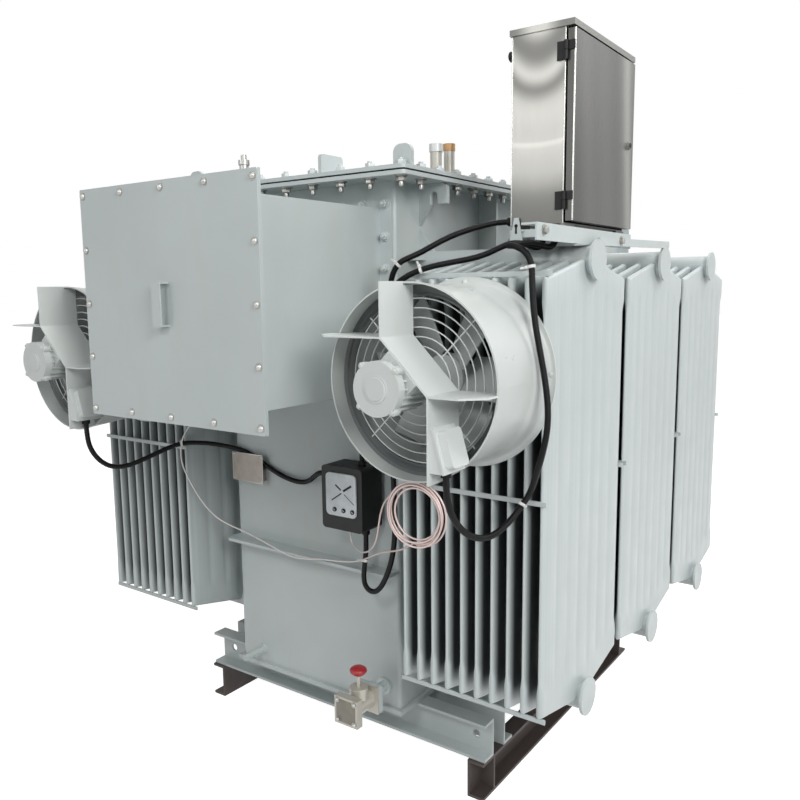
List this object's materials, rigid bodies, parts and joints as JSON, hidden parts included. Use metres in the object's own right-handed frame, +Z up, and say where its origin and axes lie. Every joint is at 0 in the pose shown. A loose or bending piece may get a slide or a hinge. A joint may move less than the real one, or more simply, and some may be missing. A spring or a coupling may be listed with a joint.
{
  "type": "power transformer",
  "caption": "Oil-filled power transformer with cable boxes at its ends, side banks of panel radiators, axial cooling fans and a control cabinet on channel beams.",
  "frame": {"origin": "on the floor under the middle of the tank", "axes": "+X to the right bank of radiators, seen from the low-voltage cable box; +Y from that box to the back; +Z up"},
  "size_m": [1.8042, 2.5158, 2.1756],
  "materials": {
    "grey_paint": "light grey enamel, satin",
    "fan_paint": "light warm grey enamel, satin",
    "wire_paint": "light grey coated wire",
    "brown_primer": "dark brown primer, matt",
    "stainless": "brushed stainless sheet",
    "black_hinge": "black die-cast hinge",
    "gasket_rubber": "black rubber",
    "red_knob": "red plastic knob",
    "dark_housing": "dark grey moulded housing",
    "white_face": "white moulded face",
    "plate_metal": "bare satin metal plate",
    "fitting_steel": "plated steel fitting",
    "black_conduit": "black corrugated nylon conduit",
    "capillary_metal": "plated capillary tube",
    "impeller_grey": "grey painted blades"
  },
  "bodies": {
    "transformer": {"under_beams": "brown_primer", "cross_channels": "grey_paint", "tank_floor": "grey_paint", "tank_walls": "grey_paint", "tank_rim": "grey_paint", "cover_gasket": "gasket_rubber", "tank_cover": "grey_paint", "cover_lugs": "grey_paint", "lifting_hooks": "grey_paint", "wall_ribs": "grey_paint", "wall_shelves": "grey_paint", "lv_box": "grey_paint", "lv_cover": "grey_paint", "hv_box": "grey_paint", "hv_cover": "grey_paint", "cover_handles": "grey_paint", "oil_filler": "fitting_steel", "relief_valve": "fitting_steel", "nameplate": "plate_metal", "indicator_box": "dark_housing", "indicator_face": "white_face", "sampling_stub": "grey_paint", "drain_valve": "grey_paint", "drain_knob": "red_knob", "radiator_panels_right": "grey_paint", "radiator_panels_left": "grey_paint", "headers_right": "grey_paint", "headers_left": "grey_paint", "header_strap": "grey_paint", "panel_ties": "grey_paint", "fan_shrouds": "fan_paint", "fan_guards": "wire_paint", "motor_brackets": "fan_paint", "fan_motors": "fan_paint", "terminal_boxes": "fan_paint", "cabinet_frame": "grey_paint", "cabinet_body": "stainless", "cabinet_hinges": "black_hinge", "conduit_glands": "black_conduit", "left_fan_conduit": "black_conduit", "right_fan_conduit": "black_conduit", "indicator_conduit": "black_conduit", "upper_conduit": "black_conduit", "capillary_coil": "capillary_metal", "capillary_tube": "capillary_metal"},
    "impeller_right": {"fan_impeller_right": "impeller_grey"},
    "impeller_left": {"fan_impeller_left": "impeller_grey"},
    "door": {"cabinet_door": "stainless", "door_hinges": "black_hinge"}
  },
  "joints": [
    {"name": "impeller_right_spin", "type": "hinge", "parent": "transformer", "child": "impeller_right", "pos_m": [0.65565, -0.92, 1.325], "axis": [0, 1, 0], "continuous": true},
    {"name": "impeller_left_spin", "type": "hinge", "parent": "transformer", "child": "impeller_left", "pos_m": [-0.65565, -0.92, 1.325], "axis": [0, 1, 0], "continuous": true},
    {"name": "door_hinge", "type": "hinge", "parent": "transformer", "child": "door", "pos_m": [0.8405, -0.6733, 1.93], "axis": [0, 0, -1], "range_deg": [0, 110]}
  ]
}
